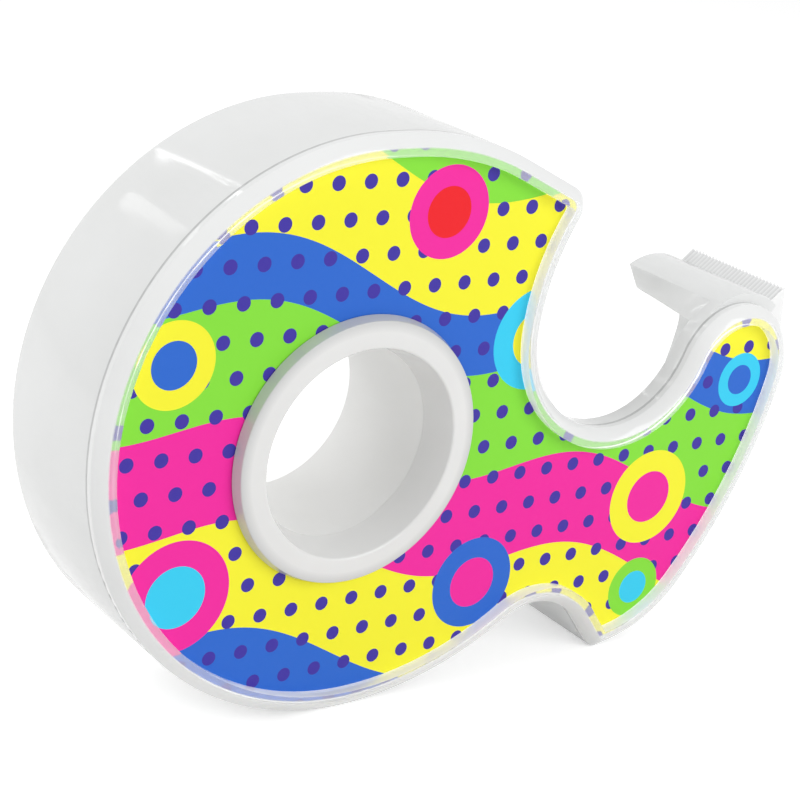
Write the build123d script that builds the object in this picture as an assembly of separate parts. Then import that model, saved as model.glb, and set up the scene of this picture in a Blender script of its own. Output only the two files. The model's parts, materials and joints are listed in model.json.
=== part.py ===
from build123d import *
import os
from math import acos, atan2, cos, degrees, hypot, radians, sin

# A hand-held tape dispenser standing on its drum and its foot: +Z up, the labelled face towards -Y.
# Outlines are drawn round the hub axis, with depths from the hub's front face, and moved at the end
# so that the origin is the centre of the base.

# Depths along Y
RIM_FRONT = 1.0
LABEL_FACE = 1.85
LABEL_THICK = 0.30
SEAM = 2.6
PLATE_BACK = 2.95
LIP_BACK = 5.0
TAPE_WIDTH = 19.0
ROLL_FRONT = 3.1
ROLL_BACK = ROLL_FRONT + TAPE_WIDTH
DEPTH = ROLL_BACK + 0.05

# Mouldings
WALL = 1.5
RIM_WIDTH = 2.6
RIM_CHAMFER = 0.6
BACK_CHAMFER = 0.5
SPIGOT_GAP = 0.05
LABEL_GAP = 0.15
LABEL_TUCK = 1.2
LABEL_PLAY = 0.05
PAST = 2.0

# Outline of the drum, the belly and the top
BASE = -36.1
EQUATOR = 3.4
UPPER_R = 36.9
LOWER_R = EQUATOR - BASE
BELLY_R = 47.0
BROW_R = 43.5
BROW_X = 2.6
BROW_END = 64.5
HORN_ROUND = 3.0
LEAST_ROUND = 0.25

# Outline of the throat and the arm
THROAT_X = 42.2
THROAT_BOTTOM = -2.1
THROAT_LEFT_R = 15.2
THROAT_SIDE_R = 30.0
ARM_TIP = (64.2, 3.5)
ARM_TIP_R = 9.9
ARM_BACK_R = 70.5
ARM_BACK_START = -11.0

# Outline of the foot and the notch before it
FOOT_R = 20.0
FOOT_START = -80.0
HEEL = (45.4, BASE - 0.1)
HEEL_ROUND = 1.5
NOTCH = (33.5, -36.6)

# Throat window behind the lip
WINDOW_TOP = 26.0
WINDOW_LEFT = THROAT_X - 1.5 * THROAT_LEFT_R
WINDOW_BOTTOM = THROAT_BOTTOM - 2.5 * WALL

# Tape landing over the arm's tip, whose end face twists from the lip to the back
LANDING = (65.6, 4.6)
LANDING_R = 9.9
LANDING_THICK = 4.3
LANDING_HEEL_ANGLE = 50.0
LANDING_END_ANGLE = 119.5
LANDING_ROOT_ANGLE = 144.0

# Serrated cutter, a wedge seated on the landing and the arm's tip
CUTTER_FRONT = DEPTH - TAPE_WIDTH
CUTTER_EDGE = (73.2, 14.8)
CUTTER_SHOULDER = (73.8, 9.6)
CUTTER_INNER_ANGLE = 58.0
CUTTER_OUTER_ANGLE = 4.0
SEAT_GAP = 0.03
TOOTH_COUNT = 27
TOOTH_DEPTH = 0.45

# Hub collar, tape core and roll, as radii round the hub axis
MOUTH_R = 13.85
BORE_R = 12.85
FLANGE_R = 17.75
FLANGE_BACK = LABEL_FACE - 0.1
FLANGE_ROUND = 1.1
FLANGE_STEPS = 3
MOUTH_CHAMFER = 0.3
COLLAR_R = 14.2
COLLAR_END = 5.1
RUNNING_GAP = 0.08
SOCKET_GAP = 0.03
CORE_R = 15.4
CORE_FRONT = PLATE_BACK + 0.1
ROLL_R = 22.6
WOUND_GAP = 0.05
TURN_THICK = 0.25
TURN_END = 81.0
TURN_ARC = 335.0
TAB_LENGTH = 5.0
TAB_LIFT = 12.0


def polar(centre, radius, angle):
    """Point of a circle at an angle in degrees."""
    a = radians(angle)
    return (centre[0] + radius * cos(a), centre[1] + radius * sin(a))


def heading(start, end):
    """Angle in degrees of the way from one point to another."""
    return degrees(atan2(end[1] - start[1], end[0] - start[0]))


def distance(a, b):
    return hypot(b[0] - a[0], b[1] - a[1])


def touch_angle(point, centre, radius):
    """Angle on a circle where the line from an outside point touches it, on the anticlockwise side."""
    return heading(centre, point) + degrees(acos(radius / distance(centre, point)))


def side_plane(depth):
    """Plane at a depth whose sketch X and Y are the model's X and Z."""
    return Plane((0, depth, 0), x_dir=(1, 0, 0), z_dir=(0, -1, 0))


def slab(sketch, front, back):
    """Solid of a side outline between two depths."""
    return extrude(side_plane(front) * sketch, front - back)


def tube(outer, inner, front, back):
    return slab(Circle(outer) - Circle(inner), front, back)


def tangents_meet(centre_a, radius_a, angle_a, centre_b, radius_b, angle_b):
    """Point where the tangents of two circles at given angles cross."""
    ax, az = polar((0, 0), 1, angle_a)
    bx, bz = polar((0, 0), 1, angle_b)
    a = centre_a[0] * ax + centre_a[1] * az + radius_a
    b = centre_b[0] * bx + centre_b[1] * bz + radius_b
    turn = ax * bz - az * bx
    return ((a * bz - b * az) / turn, (ax * b - bx * a) / turn)


def tangent_crossing(centre, radius, other, other_r, angle):
    """Angle on a circle where another circle's tangent crosses it, on the anticlockwise side."""
    reach = other_r - distance(other, centre) * cos(radians(heading(other, centre) - angle))
    return angle + degrees(acos(reach / radius))


def edges_at(solid, depth):
    """Edges lying in the plane at a depth."""
    return solid.edges().filter_by_position(Axis.Y, depth - 1e-4, depth + 1e-4)


def snail(inset=0):
    """The outline, or a line at an even distance inside it: tangent arcs and two rounded corners."""
    upper = (0, EQUATOR)
    lower = (LOWER_R - UPPER_R, EQUATOR)
    belly = (lower[0], BASE + BELLY_R)
    brow = (BROW_X, EQUATOR + UPPER_R - BROW_R)

    notch_r = distance(belly, NOTCH) - BELLY_R
    belly_end = heading(belly, NOTCH)
    notch_end = touch_angle(HEEL, NOTCH, notch_r)

    arm_back = polar(ARM_TIP, ARM_TIP_R - ARM_BACK_R, ARM_BACK_START)
    heel_reach = distance(arm_back, HEEL) * cos(radians(heading(arm_back, HEEL) - FOOT_START))
    foot_reach = ARM_BACK_R - FOOT_R
    foot_end = FOOT_START + degrees(acos((heel_reach - FOOT_R) / foot_reach))
    foot = polar(arm_back, foot_reach, foot_end)

    across = ARM_TIP[0] - THROAT_X
    rise = ARM_TIP[1] - THROAT_BOTTOM
    throat_right_r = (across ** 2 + rise ** 2 - ARM_TIP_R ** 2) / (2 * (ARM_TIP_R + rise))
    throat_right = (THROAT_X, THROAT_BOTTOM + throat_right_r)
    throat_left = (THROAT_X, THROAT_BOTTOM + THROAT_LEFT_R)
    throat_end = heading(throat_right, ARM_TIP)
    throat_side = (throat_left[0] - THROAT_LEFT_R + THROAT_SIDE_R, throat_left[1])

    notch_r += inset
    throat_right_r += inset
    throat_left_r = THROAT_LEFT_R + inset
    throat_side_r = THROAT_SIDE_R + inset
    brow_r = BROW_R - inset
    foot_r = FOOT_R - inset
    heel = tangents_meet(NOTCH, notch_r, notch_end, foot, foot_r, FOOT_START)
    horn_angle = tangent_crossing(throat_side, throat_side_r, brow, brow_r, BROW_END)
    horn = polar(throat_side, throat_side_r, horn_angle)

    with BuildSketch() as sketch:
        with BuildLine():
            CenterArc(upper, UPPER_R - inset, 90, 90)
            CenterArc(lower, LOWER_R - inset, 180, 90)
            CenterArc(belly, BELLY_R - inset, -90, belly_end + 90)
            CenterArc(NOTCH, notch_r, belly_end + 180, notch_end - belly_end - 180)
            Polyline(polar(NOTCH, notch_r, notch_end), heel, polar(foot, foot_r, FOOT_START))
            CenterArc(foot, foot_r, FOOT_START, foot_end - FOOT_START)
            CenterArc(arm_back, ARM_BACK_R - inset, foot_end, ARM_BACK_START - foot_end)
            CenterArc(ARM_TIP, ARM_TIP_R - inset, ARM_BACK_START, throat_end + 180 - ARM_BACK_START)
            CenterArc(throat_right, throat_right_r, throat_end, -90 - throat_end)
            CenterArc(throat_left, throat_left_r, 270, -90)
            CenterArc(throat_side, throat_side_r, 180, horn_angle - 180)
            Line(horn, polar(brow, brow_r, BROW_END))
            CenterArc(brow, brow_r, BROW_END, 90 - BROW_END)
            Line(polar(brow, brow_r, 90), polar(upper, UPPER_R - inset, 90))
        make_face()
        for corner, rounding in ((heel, HEEL_ROUND), (horn, HORN_ROUND)):
            vertex = sketch.vertices().sort_by_distance(corner)[0]
            fillet(vertex, max(rounding - inset, LEAST_ROUND))
    return sketch.sketch


def front_cover():
    """Face plate with a raised rim that overhangs the label's edge and a spigot that fits in the body."""
    recess_floor = LABEL_FACE + LABEL_THICK
    cover = slab(snail(), RIM_FRONT, SEAM)
    cover = chamfer(edges_at(cover, RIM_FRONT), RIM_CHAMFER)
    cover -= slab(snail(RIM_WIDTH), RIM_FRONT - PAST, recess_floor)
    cover -= slab(snail(RIM_WIDTH - LABEL_TUCK), LABEL_FACE - LABEL_PLAY, recess_floor)
    cover += slab(snail(WALL + SPIGOT_GAP), SEAM, PLATE_BACK)
    return cover - slab(Circle(COLLAR_R + RUNNING_GAP), 0, PLATE_BACK + PAST)


def throat_window():
    """Space behind the lip that opens the throat; its side at the arm is the landing's end face."""

    def outline(lower_edge):
        return Polyline(
            (WINDOW_LEFT, WINDOW_TOP),
            (THROAT_X, WINDOW_TOP),
            polar(LANDING, LANDING_R + THROAT_LEFT_R / 2, LANDING_END_ANGLE),
            polar(LANDING, LANDING_R, LANDING_END_ANGLE),
            lower_edge,
            polar(LANDING, LANDING_R / 2, LANDING_END_ANGLE),
            (THROAT_X + THROAT_LEFT_R / 1.5, WINDOW_BOTTOM),
            (THROAT_X - THROAT_LEFT_R / 1.5, WINDOW_BOTTOM),
            (WINDOW_LEFT, 0),
            close=True,
        )

    root = polar(LANDING, LANDING_R, LANDING_ROOT_ANGLE)
    tip = polar(LANDING, LANDING_R - LANDING_THICK, LANDING_END_ANGLE)
    front = side_plane(LIP_BACK) * make_face(outline(root))
    back = side_plane(DEPTH) * make_face(outline(tip))
    return loft([front, back], ruled=True)


def landing_sector(gap=0):
    """Section of the landing: an arc over the arm's tip, or with a gap round its outer side."""
    outer_r = LANDING_R + gap
    inner_r = LANDING_R - LANDING_THICK
    start = LANDING_HEEL_ANGLE - degrees(gap / LANDING_R)
    turn = LANDING_ROOT_ANGLE - start
    with BuildSketch() as sector:
        with BuildLine():
            for radius in (outer_r, inner_r):
                CenterArc(LANDING, radius, start, turn)
            for angle in (start, LANDING_ROOT_ANGLE):
                Line(polar(LANDING, inner_r, angle), polar(LANDING, outer_r, angle))
        make_face()
    return sector.sketch


def body_shell():
    """Full-depth wall with an open back, a low lip along the throat and the landing on the arm's tip."""
    outside = slab(snail(), SEAM, DEPTH)
    outside = chamfer(edges_at(outside, DEPTH), BACK_CHAMFER)
    shell = outside - slab(snail(WALL), SEAM - PAST, DEPTH + PAST)
    shell += slab(landing_sector(), PLATE_BACK + SPIGOT_GAP, DEPTH)
    return shell - throat_window()


def cutter():
    """Wedge along the landing's far side, its inner slope cut into fine ridges that end as teeth."""
    inner_foot = polar(LANDING, LANDING_R, CUTTER_INNER_ANGLE)
    outer_foot = polar(ARM_TIP, ARM_TIP_R, CUTTER_OUTER_ANGLE)
    profile = make_face(Polyline(ARM_TIP, inner_foot, CUTTER_EDGE, CUTTER_SHOULDER, outer_foot, close=True))
    profile -= Pos(*ARM_TIP) * Circle(ARM_TIP_R + SEAT_GAP)
    profile -= landing_sector(SEAT_GAP)
    wedge = slab(profile, CUTTER_FRONT, DEPTH)

    slope = radians(heading(inner_foot, CUTTER_EDGE))
    across = Plane((CUTTER_EDGE[0], CUTTER_FRONT, CUTTER_EDGE[1]), x_dir=(0, 1, 0),
                   z_dir=(cos(slope), 0, sin(slope)))
    pitch = TAPE_WIDTH / TOOTH_COUNT
    comb = [(0, 0)]
    for tooth in range(TOOTH_COUNT):
        comb.append((pitch * (tooth + 0.5), -TOOTH_DEPTH))
        comb.append((pitch * (tooth + 1), 0))
    comb += [(TAPE_WIDTH, PAST), (0, PAST)]
    grooves = across * make_face(Polyline(*comb, close=True))
    reach = distance(inner_foot, CUTTER_EDGE) + PAST
    return wedge - extrude(grooves, reach, both=True)


def label_card():
    """Printed card lying in the recess, its edge under the rim and its hole under the collar's flange."""
    card = snail(RIM_WIDTH - LABEL_TUCK + LABEL_GAP) - Circle(COLLAR_R + 2 * LABEL_GAP)
    return slab(card, LABEL_FACE, LABEL_FACE + LABEL_THICK)


def hub_collar():
    """Front ring: a rounded flange over the label and a tapering sleeve through the plate's hole."""
    round_centre = (FLANGE_R - FLANGE_ROUND, FLANGE_ROUND)
    rounding = [polar(round_centre, FLANGE_ROUND, -90 * step / FLANGE_STEPS) for step in range(FLANGE_STEPS + 1)]
    with BuildSketch(Plane.XY) as profile:
        with BuildLine():
            Polyline((BORE_R, COLLAR_END), (COLLAR_R, COLLAR_END), (COLLAR_R, FLANGE_BACK),
                     (FLANGE_R, FLANGE_BACK), *rounding, (MOUTH_R, 0), close=True)
        make_face()
        chamfer(profile.vertices().sort_by_distance((MOUTH_R, 0))[0], MOUTH_CHAMFER)
    return revolve(profile.sketch, Axis.Y)


def tape_core():
    """Plain core of the roll, with a socket at its front end for the collar's sleeve."""
    core = tube(CORE_R, BORE_R, CORE_FRONT, ROLL_BACK)
    return core - slab(Circle(COLLAR_R + SOCKET_GAP), CORE_FRONT - PAST, COLLAR_END + SOCKET_GAP)


def tape_roll():
    return tube(ROLL_R, CORE_R + WOUND_GAP, ROLL_FRONT, ROLL_BACK)


def outer_turn():
    """Last lap of tape, whose free end lifts off the roll towards the landing."""
    hub = (0, 0)
    inner_r = ROLL_R + WOUND_GAP
    outer_r = inner_r + TURN_THICK
    start = TURN_END + TURN_ARC
    with BuildSketch() as lap:
        with BuildLine():
            tips = []
            for radius in (inner_r, outer_r):
                CenterArc(hub, radius, TURN_END, TURN_ARC)
                root = polar(hub, radius, TURN_END)
                tips.append(polar(root, TAB_LENGTH, TURN_END - 90 + TAB_LIFT))
                Line(root, tips[-1])
            Line(*tips)
            Line(polar(hub, inner_r, start), polar(hub, outer_r, start))
        make_face()
    return slab(lap.sketch, ROLL_FRONT, ROLL_BACK)


def main():
    nodes = {
        "front_cover": front_cover(),
        "body_shell": body_shell(),
        "cutter": cutter(),
        "label_card": label_card(),
        "hub_collar": hub_collar(),
        "tape_core": tape_core(),
        "tape_roll": tape_roll(),
        "outer_turn": outer_turn(),
    }
    right = ARM_TIP[0] + ARM_TIP_R
    to_base = Location(((UPPER_R - right) / 2, -DEPTH / 2, -BASE))
    os.makedirs("parts", exist_ok=True)
    for name, solid in nodes.items():
        export_step(to_base * solid, f"parts/{name}.step")


main()
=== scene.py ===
import json
import math

import bmesh
import bpy
from mathutils import Matrix, Quaternion, Vector
from mathutils.bvhtree import BVHTree


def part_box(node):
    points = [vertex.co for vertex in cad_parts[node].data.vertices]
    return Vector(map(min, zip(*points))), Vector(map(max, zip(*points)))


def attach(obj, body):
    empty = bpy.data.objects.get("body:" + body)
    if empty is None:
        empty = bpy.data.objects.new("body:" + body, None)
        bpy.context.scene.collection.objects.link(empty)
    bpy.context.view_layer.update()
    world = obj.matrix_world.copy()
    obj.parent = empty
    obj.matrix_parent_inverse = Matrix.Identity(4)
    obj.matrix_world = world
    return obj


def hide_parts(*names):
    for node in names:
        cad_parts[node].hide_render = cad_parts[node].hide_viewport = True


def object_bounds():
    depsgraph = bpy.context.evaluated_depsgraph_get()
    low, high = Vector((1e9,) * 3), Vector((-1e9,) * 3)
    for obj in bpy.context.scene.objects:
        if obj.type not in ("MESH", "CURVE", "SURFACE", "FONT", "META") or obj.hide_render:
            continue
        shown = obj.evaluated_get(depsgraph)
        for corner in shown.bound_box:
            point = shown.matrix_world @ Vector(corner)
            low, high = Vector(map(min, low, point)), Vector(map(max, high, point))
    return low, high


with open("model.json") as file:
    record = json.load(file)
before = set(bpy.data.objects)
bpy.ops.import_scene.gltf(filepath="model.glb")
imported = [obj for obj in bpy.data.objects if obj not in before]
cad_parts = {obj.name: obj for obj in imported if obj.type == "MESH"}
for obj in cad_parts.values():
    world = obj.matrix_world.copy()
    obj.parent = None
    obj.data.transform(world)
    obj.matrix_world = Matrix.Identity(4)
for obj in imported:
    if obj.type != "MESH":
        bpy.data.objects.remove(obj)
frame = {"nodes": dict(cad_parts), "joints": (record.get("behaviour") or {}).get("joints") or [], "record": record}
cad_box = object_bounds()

# A clear moulded tape dispenser with a printed face.
# The frame's places, the stage and lengths times MM are in metres, and other lengths are in millimetres.

MM = 0.001
NODES = frame["nodes"]
HUB = Vector(frame["joints"][0]["pos_m"])
HUB_FRONT = Vector((HUB.x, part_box("hub_collar")[0].y, HUB.z))
CENTRE = (cad_box[0] + cad_box[1]) / 2
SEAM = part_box("body_shell")[0].y

# Camera, placed from the hub's front face
CAMERA_FROM_HUB = Vector((-146.52, -193.52, 96.45)) * MM
CAMERA_AZIMUTH = math.radians(-37.99)
CAMERA_ELEVATION = math.radians(20.06)
CAMERA_ROLL = math.radians(7.30)
SENSOR_MM = 36.0
LENS_MM = 95.42
CLIP_START = 10 * MM

# Soft edges of the mouldings
RIM_BEVEL = 0.30 * MM
SHELL_BEVEL = 0.25 * MM
BEVEL_STEPS = 3
NGON_CORNERS = 5
SHARP_ANGLE = math.radians(30)
FLAT_ANGLE = math.radians(0.5)
WELD = 0.001 * MM

# Rim of the cover, by distances inside the outline and depths behind the hub's front
INSET = "inset"
RIM_HEIGHT = 0.5 * MM
TALL = 1000 * MM
BEAD_LOOPS = (0.35 * MM, 0.3 * MM, 0.25 * MM)
BEAD_START = 1.6
BEAD_CREST = 0.12
BEAD_CREST_INSET = 1.7
BEAD_FALL = 1.4
HAZY_TO = 1.45
CLEAR_FROM = 1.65
UNDERSIDE_FROM = 1.75
CARD_MIDDLE = 2.0
SEAM_GAP = 0.03 * MM
SEAM_DEPTH = (SEAM - HUB_FRONT.y) / MM
SEAM_HALF = 0.14

# Faces told apart by the share of their normal along Y
UPRIGHT = 0.1
WALL_FACING = 0.3
FRONT_FACING = 0.8
SHUT_FROM = -0.5
SHUT_TO = -0.9

# Cutter, whose grooves run over the tape's width
TEETH = 27

# Hub collar, as radii and depths
FLANGE_R = (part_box("hub_collar")[1].x - HUB.x) / MM
FLANGE_BACK = 1.75
WALL_LEAN = 0.4
FACE_DROP = 0.35
EDGE_ROUND = 0.18
EDGE_STEPS = 4
CREST_R = 14.2
MOUTH_R = 13.85
MOUTH_ROUND = 0.3
MOUTH_STEPS = 4
SLEEVE_R = 14.2
TURN_STEPS = 128
# Radius where the painted shade towards the flange's edge begins
PAINTED_SHADE_FROM_R = 15.9


def srgb(red, green, blue):
    """Linear colour of a screen colour given as 0 to 255."""
    levels = []
    for level in (red, green, blue):
        share = level / 255
        levels.append(share / 12.92 if share <= 0.04045 else ((share + 0.055) / 1.055) ** 2.4)
    return (*levels, 1.0)


# Colours of the print
YELLOW = srgb(255, 250, 48)
LIME = srgb(137, 230, 58)
PINK = srgb(250, 32, 165)
BLUE = srgb(38, 106, 212)
CYAN = srgb(52, 212, 250)
RED = srgb(245, 16, 28)
VIOLET = srgb(62, 46, 165)

# Shades of the mouldings and the tape, the darkest and the lightest
COVER_SHADES = (srgb(236, 237, 236), srgb(246, 247, 247))
SHELL_SHADES = (srgb(234, 235, 234), srgb(246, 247, 247))
CUTTER_SHADES = (srgb(246, 247, 247), srgb(252, 252, 252))
HUB_SHADES = (srgb(231, 231, 230), srgb(239, 239, 238))
CORE_SHADES = (srgb(242, 242, 240), srgb(249, 249, 248))
FILM_SHADES = (srgb(226, 223, 208), srgb(246, 244, 236))

# Painted shade and highlight on the mouldings, and the colour of the light
# Painted shade of the seam line between the cover and the body
PAINTED_SEAM_SHADE = srgb(204, 205, 205)
# Painted highlight on the rim's clear crest
PAINTED_CREST_HIGHLIGHT = srgb(254, 254, 254)
# Painted shade in the cutter's grooves
PAINTED_GROOVE_SHADE = srgb(194, 195, 195)
# Painted shade at the hub flange's edge
PAINTED_FLANGE_SHADE = srgb(198, 199, 199)
WHITE = (1.0, 1.0, 1.0, 1.0)

# Roughness, from the smoothest to the roughest spot
COVER_ROUGH = (0.04, 0.08)
SHELL_ROUGH = (0.07, 0.12)
CUTTER_ROUGH = (0.1, 0.2)
HUB_ROUGH = (0.14, 0.2)
CORE_ROUGH = (0.35, 0.5)
FILM_ROUGH = (0.32, 0.5)
CARD_ROUGH = (0.42, 0.55)

# Share of light that goes through, index of refraction, and the card's gloss
RIM_CLEARNESS = 0.72
WALL_CLEARNESS = 0.35
SHELL_CLEARNESS = 0.1
CUTTER_CLEARNESS = 0.2
FILM_CLEARNESS = 0.1
PLASTIC_IOR = 1.49
SATIN_IOR = 1.5
FILM_IOR = 1.48
CARD_SPECULAR = 0.3

# Noise as scale and detail, the range it mostly keeps to, and bump as strength and depth
FLOW_MARKS = (0.06, 2.0)
MOULD_GRAIN = (0.9, 4.0)
MOULD_BUMP = (0.05, 0.02 * MM)
SATIN_FLOW = (0.12, 3.0)
SATIN_GRAIN = (4.0, 4.0)
SATIN_BUMP = (0.02, 0.01 * MM)
FILM_TURNS = (3.0, 4.0)
FILM_GRAIN = (2.0, 3.0)
FILM_BUMP = (0.2, 0.05 * MM)
CARD_FIBRES = (1.6, 5.0)
CARD_BUMP = (0.05, 0.02 * MM)
NOISE_LOW = 0.3
NOISE_HIGH = 0.7


# Node trees

def add(tree, kind, inputs=(), **settings):
    """New node with settings, and with each named or numbered input linked or set."""
    node = tree.nodes.new(kind)
    for name, value in settings.items():
        setattr(node, name, value)
    for key, value in dict(inputs).items():
        if isinstance(value, bpy.types.NodeSocket):
            tree.links.new(value, node.inputs[key])
        else:
            node.inputs[key].default_value = value
    return node


def math_node(tree, operation, *values):
    return add(tree, "ShaderNodeMath", enumerate(values), operation=operation).outputs[0]


def remap(tree, value, start, end, low=0.0, high=1.0):
    """Value mapped from the range of start to end to that of low to high, and kept within it."""
    return add(tree, "ShaderNodeMapRange", {
        "Value": value, "From Min": start, "From Max": end, "To Min": low, "To Max": high,
    }).outputs[0]


def new_material(name):
    material = bpy.data.materials.new(name)
    material.use_nodes = True
    material.node_tree.nodes.clear()
    return material, material.node_tree


def surface(tree, shader):
    add(tree, "ShaderNodeOutputMaterial", {"Surface": shader})


def place(tree):
    """Coordinates from the hub's front, in millimetres."""
    scale = 1 / MM
    return add(tree, "ShaderNodeMapping", {
        "Vector": add(tree, "ShaderNodeTexCoord").outputs["Object"],
        "Location": -HUB_FRONT * scale,
        "Scale": (scale, scale, scale),
    }).outputs[0]


def depth(tree):
    """Depth behind the hub's front, in millimetres."""
    return add(tree, "ShaderNodeSeparateXYZ", {0: place(tree)}).outputs["Y"]


def facing(tree):
    """How far a face looks to the back, from -1 to 1, on the side that is seen."""
    normal = add(tree, "ShaderNodeTexCoord").outputs["Normal"]
    return add(tree, "ShaderNodeSeparateXYZ", {0: normal}).outputs["Y"]


def hub_distance(tree, where):
    """Distance from the hub's axis, in millimetres."""
    axes = add(tree, "ShaderNodeSeparateXYZ", {0: where})
    flat = add(tree, "ShaderNodeCombineXYZ", {0: axes.outputs["X"], 1: axes.outputs["Z"]}).outputs[0]
    return add(tree, "ShaderNodeVectorMath", {0: flat}, operation="LENGTH").outputs["Value"]


def noise(tree, scale, detail, where):
    return add(tree, "ShaderNodeTexNoise", {
        "Vector": where, "Scale": scale, "Detail": detail,
    }).outputs["Fac"]


def spread(tree, factor, low, high):
    """Noise spread over a range of values."""
    return remap(tree, factor, NOISE_LOW, NOISE_HIGH, low, high)


def tint(tree, factor, dark, light):
    return add(tree, "ShaderNodeMix", {0: factor, 6: dark, 7: light}, data_type="RGBA").outputs[2]


def bump(tree, height, strength, distance):
    return add(tree, "ShaderNodeBump", {
        "Height": height, "Strength": strength, "Distance": distance,
    }).outputs[0]


# Clear plastic

def painted_seam_shade(tree):
    """One at the depth where the two mouldings meet, else zero: the mask of a painted shade line in the seam."""
    away = math_node(tree, "ABSOLUTE", math_node(tree, "SUBTRACT", depth(tree), SEAM_DEPTH))
    return remap(tree, away, SEAM_HALF, 2 * SEAM_HALF, 1.0, 0.0)


def shut_behind(tree):
    """One on faces towards the back as seen from inside, where another moulding shuts out the light."""
    return remap(tree, facing(tree), SHUT_FROM, SHUT_TO)


def clear_plastic(name, shades, rough, clearness, paint=None):
    """Moulded plastic with faint flow marks. From inside, a hazy wall shows the light coming through it."""
    material, tree = new_material(name)
    dark, light = shades
    where = place(tree)
    flow = noise(tree, *FLOW_MARKS, where)
    grain = noise(tree, *MOULD_GRAIN, where)
    behind = add(tree, "ShaderNodeNewGeometry").outputs["Backfacing"]
    share = clearness(tree, behind) if callable(clearness) else clearness
    # Painted shade: a grey line at the seam, laid over the flow marks
    colour = tint(tree, painted_seam_shade(tree), tint(tree, flow, dark, light), PAINTED_SEAM_SHADE)
    outside = add(tree, "ShaderNodeBsdfPrincipled", {
        "Base Color": paint(tree, colour) if paint else colour,
        "Roughness": spread(tree, flow, *rough),
        "IOR": PLASTIC_IOR,
        "Transmission Weight": share,
        "Normal": bump(tree, grain, *MOULD_BUMP),
    })
    inside = add(tree, "ShaderNodeMixShader", {
        0: shut_behind(tree),
        1: add(tree, "ShaderNodeBsdfTranslucent", {"Color": light}).outputs[0],
        2: add(tree, "ShaderNodeBsdfDiffuse", {"Color": light}).outputs[0],
    })
    haze = math_node(tree, "MULTIPLY", behind, math_node(tree, "SUBTRACT", 1.0, share))
    surface(tree, add(tree, "ShaderNodeMixShader", {
        0: haze, 1: outside.outputs[0], 2: inside.outputs[0],
    }).outputs[0])
    return material


def clear_zone(tree):
    """One well inside the outline, by the distances marked on the mesh, and zero behind the card."""
    inset = add(tree, "ShaderNodeAttribute", attribute_name=INSET).outputs["Fac"]
    before_card = math_node(tree, "LESS_THAN", depth(tree), CARD_MIDDLE)
    return math_node(tree, "MULTIPLY", remap(tree, inset, HAZY_TO, CLEAR_FROM), before_card)


def rim_clearness(tree, behind):
    """Clear on the rim's crest, hazier on its upright inner wall, and clear right through below."""
    level = math_node(tree, "ABSOLUTE", facing(tree))
    front = remap(tree, level, WALL_FACING, FRONT_FACING, WALL_CLEARNESS, RIM_CLEARNESS)
    below = math_node(tree, "MAXIMUM", behind, math_node(tree, "GREATER_THAN", depth(tree), UNDERSIDE_FROM))
    return math_node(tree, "MULTIPLY", clear_zone(tree), math_node(tree, "MAXIMUM", front, below))


def rim_painted_highlight(tree, colour):
    """Painted highlight: a near-white colour where the rim is clear."""
    return tint(tree, clear_zone(tree), colour, PAINTED_CREST_HIGHLIGHT)


def cutter_painted_shade(tree, colour):
    """Painted shade in the grooves between the cutter's teeth."""
    low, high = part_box("cutter")
    pitch = (high.y - low.y) / MM / TEETH
    along = math_node(tree, "SUBTRACT", depth(tree), (low.y - HUB_FRONT.y) / MM)
    groove = math_node(tree, "PINGPONG", along, pitch / 2)
    shade = math_node(tree, "DIVIDE", groove, pitch)
    return tint(tree, shade, colour, PAINTED_GROOVE_SHADE)


# White mouldings and tape

def white_satin(name, shades, rough):
    """Opaque white moulding with a fine satin grain, and painted shade greying it towards a flange's edge."""
    material, tree = new_material(name)
    where = place(tree)
    flow = noise(tree, *SATIN_FLOW, where)
    grain = noise(tree, *SATIN_GRAIN, where)
    # Painted shade: greyer from this radius out to the flange's edge
    edge = remap(tree, hub_distance(tree, where), PAINTED_SHADE_FROM_R, FLANGE_R)
    shader = add(tree, "ShaderNodeBsdfPrincipled", {
        "Base Color": tint(tree, edge, tint(tree, flow, *shades), PAINTED_FLANGE_SHADE),
        "Roughness": spread(tree, grain, *rough),
        "IOR": SATIN_IOR,
        "Normal": bump(tree, grain, *SATIN_BUMP),
    })
    surface(tree, shader.outputs[0])
    return material


def tape_film():
    """Frosted film: fine rings of the turns on the sides, a silky face round the roll."""
    material, tree = new_material("tape_film")
    where = place(tree)
    scale, detail = FILM_TURNS
    turns = add(tree, "ShaderNodeTexNoise", {
        "W": hub_distance(tree, where), "Scale": scale, "Detail": detail,
    }, noise_dimensions="1D").outputs["Fac"]
    shader = add(tree, "ShaderNodeBsdfPrincipled", {
        "Base Color": tint(tree, turns, *FILM_SHADES),
        "Roughness": spread(tree, noise(tree, *FILM_GRAIN, where), *FILM_ROUGH),
        "IOR": FILM_IOR,
        "Transmission Weight": FILM_CLEARNESS,
        "Normal": bump(tree, turns, *FILM_BUMP),
    })
    surface(tree, shader.outputs[0])
    return material


# Printed card

BAND_WAVE = 3.2
BAND_WAVE_LENGTH = 52.0
BAND_TILT = 0.22
BAND_LOW = -46.0
BAND_HIGH = 58.0
DOT_PITCH = 4.6
DOT_RADIUS = 0.95
RING_CORE = 0.55

# Bands, by where they start from the lowest at 0 to the highest at 1
BANDS = [(0.00, BLUE), (0.17, YELLOW), (0.31, PINK), (0.44, LIME), (0.58, BLUE),
         (0.66, YELLOW), (0.80, LIME), (0.93, CYAN)]

# Ringed spots, by place from the hub, radius, and the colours of ring and core
RINGS = [(-24, -16, 7.5, PINK, CYAN), (10, 30, 6.0, PINK, RED), (27, 12, 7.0, CYAN, YELLOW),
         (-27, 14, 5.5, YELLOW, BLUE), (22, -22, 6.5, BLUE, PINK), (52, -14, 7.0, YELLOW, PINK),
         (66, 2, 4.0, CYAN, BLUE), (52, -28, 4.5, LIME, CYAN)]


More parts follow.
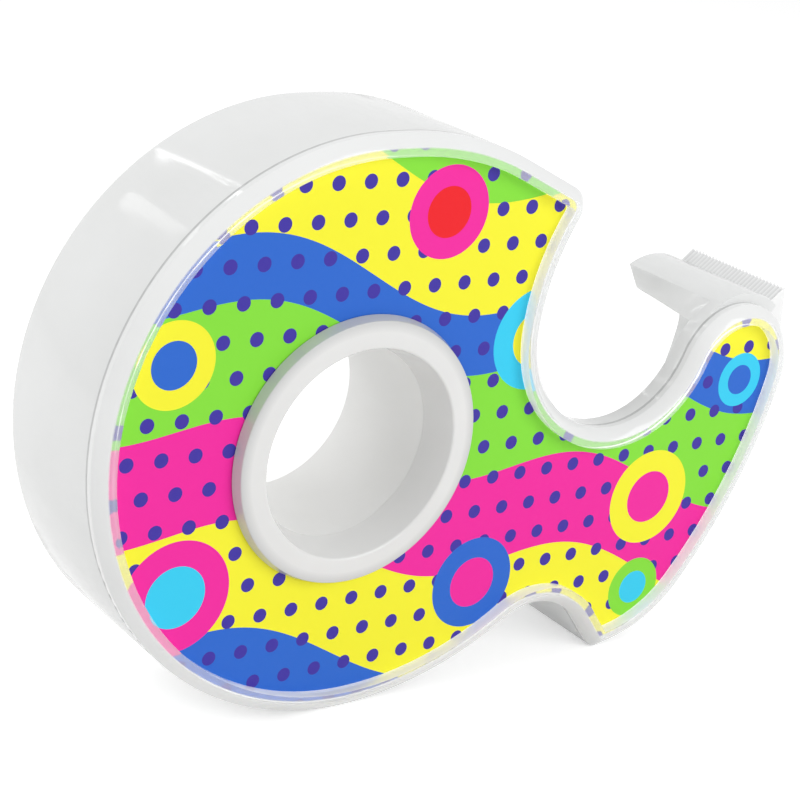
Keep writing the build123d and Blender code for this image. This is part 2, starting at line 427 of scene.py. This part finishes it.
def band_colour(tree, u, v):
    """Wavy, tilted bands of colour."""
    wave = math_node(tree, "SINE", math_node(tree, "MULTIPLY", u, 2 * math.pi / BAND_WAVE_LENGTH))
    level = math_node(tree, "ADD", v, math_node(tree, "MULTIPLY", wave, BAND_WAVE))
    level = math_node(tree, "ADD", level, math_node(tree, "MULTIPLY", u, BAND_TILT))
    ramp = add(tree, "ShaderNodeValToRGB", {"Fac": remap(tree, level, BAND_LOW, BAND_HIGH)})
    ramp.color_ramp.interpolation = "CONSTANT"
    stops = ramp.color_ramp.elements
    while len(stops) < len(BANDS):
        stops.new(1.0)
    for stop, (start, colour) in zip(stops, BANDS):
        stop.position = start
        stop.color = colour
    return ramp.outputs["Color"]


def dots(tree, u, v):
    """One on dots in staggered rows, else zero."""
    row = math_node(tree, "FLOOR", math_node(tree, "DIVIDE", v, DOT_PITCH))
    shifted = math_node(tree, "MULTIPLY_ADD", row, DOT_PITCH / 2, u)
    across = math_node(tree, "WRAP", shifted, DOT_PITCH / 2, -DOT_PITCH / 2)
    along = math_node(tree, "SUBTRACT", math_node(tree, "WRAP", v, DOT_PITCH, 0.0), DOT_PITCH / 2)
    squares = [math_node(tree, "POWER", offset, 2.0) for offset in (across, along)]
    from_dot = math_node(tree, "SQRT", math_node(tree, "ADD", *squares))
    return math_node(tree, "LESS_THAN", from_dot, DOT_RADIUS)


def print_colour(tree, where):
    """Wavy bands of colour, rows of dots and ringed spots."""
    axes = add(tree, "ShaderNodeSeparateXYZ", {0: where})
    u, v = axes.outputs["X"], axes.outputs["Z"]
    colour = tint(tree, dots(tree, u, v), band_colour(tree, u, v), VIOLET)
    flat = add(tree, "ShaderNodeCombineXYZ", {0: u, 1: v}).outputs[0]
    for x, z, radius, outer, inner in RINGS:
        from_spot = add(tree, "ShaderNodeVectorMath", {
            0: flat, 1: (x, z, 0),
        }, operation="DISTANCE").outputs["Value"]
        for reach, ink in ((radius, outer), (radius * RING_CORE, inner)):
            colour = tint(tree, math_node(tree, "LESS_THAN", from_spot, reach), colour, ink)
    return colour


def printed_card():
    """Printed card with a fine fibre in its gloss."""
    material, tree = new_material("printed_card")
    where = place(tree)
    fibres = noise(tree, *CARD_FIBRES, where)
    shader = add(tree, "ShaderNodeBsdfPrincipled", {
        "Base Color": print_colour(tree, where),
        "Roughness": spread(tree, fibres, *CARD_ROUGH),
        "Specular IOR Level": CARD_SPECULAR,
        "Normal": bump(tree, fibres, *CARD_BUMP),
    })
    surface(tree, shader.outputs[0])
    return material


# Pieces

def linked(name, data):
    """New object in the scene."""
    thing = bpy.data.objects.new(name, data)
    bpy.context.scene.collection.objects.link(thing)
    return thing


def dress(piece, material):
    piece.data.materials.clear()
    piece.data.materials.append(material)


def smooth_by_angle(mesh):
    for polygon in mesh.polygons:
        polygon.use_smooth = True
    mesh.set_sharp_from_angle(angle=SHARP_ANGLE)


def mark_inset(work, wall_depth):
    """Marks each vertex with its distance inside the outer wall, whose faces end at a depth."""
    corners = []
    walls = []
    for face in work.faces:
        points = [vertex.co for vertex in face.verts]
        ends = [point for point in points if point.y > wall_depth - WELD]
        reaches_front = min(point.y for point in points) < wall_depth - RIM_HEIGHT
        if abs(face.normal.y) < UPRIGHT and len(ends) == 2 and reaches_front:
            first, last = ends
            for point, y in ((first, -TALL), (last, -TALL), (last, TALL), (first, TALL)):
                corners.append((point.x, y, point.z))
            walls.append(range(len(corners) - 4, len(corners)))
    wall = BVHTree.FromPolygons(corners, walls)
    inset = work.verts.layers.float.new(INSET)
    for vertex in work.verts:
        vertex[inset] = wall.find_nearest(Vector((vertex.co.x, 0.0, vertex.co.z)))[3] / MM
    return inset


def raise_bead(work):
    """Rounds the rim's flat front up into a bead with a level crest, and opens a fine gap at the seam."""
    front = min(vertex.co.y for vertex in work.verts) + WELD
    flat = [face for face in work.faces if max(vertex.co.y for vertex in face.verts) < front]
    for width in BEAD_LOOPS:
        bmesh.ops.inset_region(work, faces=flat, thickness=width, use_even_offset=True, use_boundary=True)
    inset = mark_inset(work, SEAM)
    for vertex in work.verts:
        if vertex.co.y < front:
            slope = max(1 - vertex[inset] / BEAD_CREST_INSET, 0.0) ** BEAD_FALL
            vertex.co.y = HUB_FRONT.y + (BEAD_CREST + (BEAD_START - BEAD_CREST) * slope) * MM
        elif abs(vertex.co.y - SEAM) < WELD:
            vertex.co.y -= SEAM_GAP


def softened(node, name, body, width, reshape=None):
    """Copy of a moulding with its sharp edges rounded, standing for the moulding's node."""
    mesh = bpy.data.meshes.new(name)
    work = bmesh.new()
    work.from_mesh(NODES[node].data)
    bmesh.ops.remove_doubles(work, verts=work.verts, dist=WELD)
    bmesh.ops.dissolve_limit(work, angle_limit=FLAT_ANGLE, verts=work.verts, edges=work.edges)
    if reshape:
        reshape(work)
    work.to_mesh(mesh)
    work.free()
    piece = linked(name, mesh)
    for polygon in mesh.polygons:
        polygon.use_smooth = True
    bevel = piece.modifiers.new("soft_edges", "BEVEL")
    bevel.width = width
    bevel.segments = BEVEL_STEPS
    bevel.limit_method = "ANGLE"
    bevel.angle_limit = SHARP_ANGLE
    bevel.harden_normals = True
    triangles = piece.modifiers.new("even_triangles", "TRIANGULATE")
    triangles.ngon_method = "BEAUTY"
    triangles.min_vertices = NGON_CORNERS
    triangles.keep_custom_normals = True
    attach(piece, body)
    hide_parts(node)
    return piece


def quarter(steps):
    """Sines and cosines along a quarter turn."""
    angles = [math.pi / 2 * step / steps for step in range(steps + 1)]
    return [(math.sin(angle), math.cos(angle)) for angle in angles]


def turned_hub():
    """Hub collar turned from its profile: a sleeve, and a flange with a leaning wall and a sloped face."""
    low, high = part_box("hub_collar")
    end = (high.y - low.y) / MM
    bore_r = frame["record"]["mounts"][0]["dims"]["r_mm"]
    edge_r = FLANGE_R - WALL_LEAN - EDGE_ROUND
    profile = [(bore_r, end), (SLEEVE_R, end), (SLEEVE_R, FLANGE_BACK), (FLANGE_R, FLANGE_BACK)]
    for s, c in quarter(EDGE_STEPS):
        profile.append((edge_r + EDGE_ROUND * c, FACE_DROP + EDGE_ROUND * (1 - s)))
    for s, c in quarter(MOUTH_STEPS):
        profile.append((CREST_R - (CREST_R - MOUTH_R) * s, MOUTH_ROUND * (1 - c)))
    work = bmesh.new()
    rings = []
    for step in range(TURN_STEPS):
        a = 2 * math.pi * step / TURN_STEPS
        rings.append([work.verts.new(HUB_FRONT + Vector((r * math.cos(a), y, r * math.sin(a))) * MM)
                      for r, y in profile])
    for i in range(TURN_STEPS):
        ring, after = rings[i - 1], rings[i]
        for j in range(len(profile)):
            work.faces.new((ring[j - 1], ring[j], after[j], after[j - 1]))
    bmesh.ops.recalc_face_normals(work, faces=work.faces)
    mesh = bpy.data.meshes.new("hub_moulding")
    work.to_mesh(mesh)
    work.free()
    smooth_by_angle(mesh)
    piece = linked("hub_moulding", mesh)
    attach(piece, "roll")
    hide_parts("hub_collar")
    return piece


cover = softened("front_cover", "front_moulding", "case", RIM_BEVEL, raise_bead)
shell = softened("body_shell", "body_moulding", "case", SHELL_BEVEL)
hub = turned_hub()

dress(cover, clear_plastic("clear_cover", COVER_SHADES, COVER_ROUGH, rim_clearness, rim_painted_highlight))
dress(shell, clear_plastic("clear_body", SHELL_SHADES, SHELL_ROUGH, SHELL_CLEARNESS))
dress(NODES["cutter"], clear_plastic(
    "clear_cutter", CUTTER_SHADES, CUTTER_ROUGH, CUTTER_CLEARNESS, cutter_painted_shade))
dress(NODES["label_card"], printed_card())
dress(hub, white_satin("white_hub", HUB_SHADES, HUB_ROUGH))
dress(NODES["tape_core"], white_satin("white_core", CORE_SHADES, CORE_ROUGH))
film = tape_film()
for node in ("tape_roll", "outer_turn"):
    dress(NODES[node], film)
for node in ("cutter", "label_card", "tape_core", "tape_roll", "outer_turn"):
    smooth_by_angle(NODES[node].data)


# Stage

AMBIENT = 0.55
FLOOR_HALF = 1.5
FLOOR_COLOUR = (0.85, 0.85, 0.85, 1.0)
FLOOR_LIFT = 0.45

# Lamps, by azimuth, elevation, distance, length and width, power, and turn
LAMPS = {
    "key": (-105, 42, 0.7, (0.5, 0.5), 1.6, 0),
    "front": (25, 24, 0.7, (0.5, 0.4), 1.9, 0),
    "glint_high": (-172, 41.5, 0.6, (0.26, 0.01), 0.03, 5),
    "glint_high_fork": (-172, 39.5, 0.6, (0.26, 0.01), 0.03, -5),
    "glint_low": (-153, 35, 0.6, (0.24, 0.05), 0.05, 0),
}


def direction(azimuth, elevation):
    """Unit vector out from the object. Azimuth 0 is in front of the label."""
    level = math.cos(elevation)
    return Vector((math.sin(azimuth) * level, -math.cos(azimuth) * level, math.sin(elevation)))


def seen_directly(tree):
    """One for rays from the camera, in mirrors or through clear things, else zero."""
    path = add(tree, "ShaderNodeLightPath")
    seen = math_node(tree, "ADD", path.outputs["Is Camera Ray"], path.outputs["Is Glossy Ray"])
    seen = math_node(tree, "ADD", seen, path.outputs["Is Transmission Ray"])
    return math_node(tree, "MINIMUM", seen, 1.0)


def make_floor():
    mesh = bpy.data.meshes.new("floor")
    corners = [(x * FLOOR_HALF, y * FLOOR_HALF, 0.0) for x, y in ((-1, -1), (1, -1), (1, 1), (-1, 1))]
    mesh.from_pydata(corners, [], [(0, 1, 2, 3)])
    floor = linked("floor", mesh)
    material, tree = new_material("floor")
    diffuse = add(tree, "ShaderNodeBsdfDiffuse", {"Color": FLOOR_COLOUR})
    lift = math_node(tree, "MULTIPLY", seen_directly(tree), FLOOR_LIFT)
    glow = add(tree, "ShaderNodeEmission", {"Color": WHITE, "Strength": lift})
    surface(tree, add(tree, "ShaderNodeAddShader", {0: diffuse.outputs[0], 1: glow.outputs[0]}).outputs[0])
    dress(floor, material)


def make_world():
    world = bpy.data.worlds.new("studio")
    world.use_nodes = True
    tree = world.node_tree
    tree.nodes.clear()
    strength = remap(tree, seen_directly(tree), 0.0, 1.0, AMBIENT, 1.0)
    background = add(tree, "ShaderNodeBackground", {"Color": WHITE, "Strength": strength})
    add(tree, "ShaderNodeOutputWorld", {"Surface": background.outputs[0]})
    bpy.context.scene.world = world


def make_lamp(name, azimuth, elevation, distance, size, power, turn):
    """Soft lamp that looks at the object, its length along Y or turned from it, with angles in degrees."""
    towards = direction(math.radians(azimuth), math.radians(elevation))
    data = bpy.data.lights.new(name, "AREA")
    data.shape = "RECTANGLE"
    data.size, data.size_y = size
    data.energy = power
    lamp = linked(name, data)
    lamp.location = CENTRE + towards * distance
    along = Vector((0, 1, 0)) - towards * towards.y
    along.normalize()
    along.rotate(Quaternion(towards, math.radians(turn)))
    lamp.rotation_mode = "QUATERNION"
    lamp.rotation_quaternion = Matrix((along, towards.cross(along), towards)).transposed().to_quaternion()


def make_camera():
    back = direction(CAMERA_AZIMUTH, CAMERA_ELEVATION)
    right = Vector((0, 0, 1)).cross(back).normalized()
    axes = Matrix((right, back.cross(right), back)).transposed()
    data = bpy.data.cameras.new("camera")
    data.sensor_width = SENSOR_MM
    data.lens = LENS_MM
    data.clip_start = CLIP_START
    camera = linked("camera", data)
    turned = axes @ Matrix.Rotation(CAMERA_ROLL, 3, "Z")
    camera.matrix_world = Matrix.Translation(HUB_FRONT + CAMERA_FROM_HUB) @ turned.to_4x4()
    bpy.context.scene.camera = camera


make_floor()
make_world()
for name, settings in LAMPS.items():
    make_lamp(name, *settings)
make_camera()
bpy.context.scene.view_settings.view_transform = "Standard"
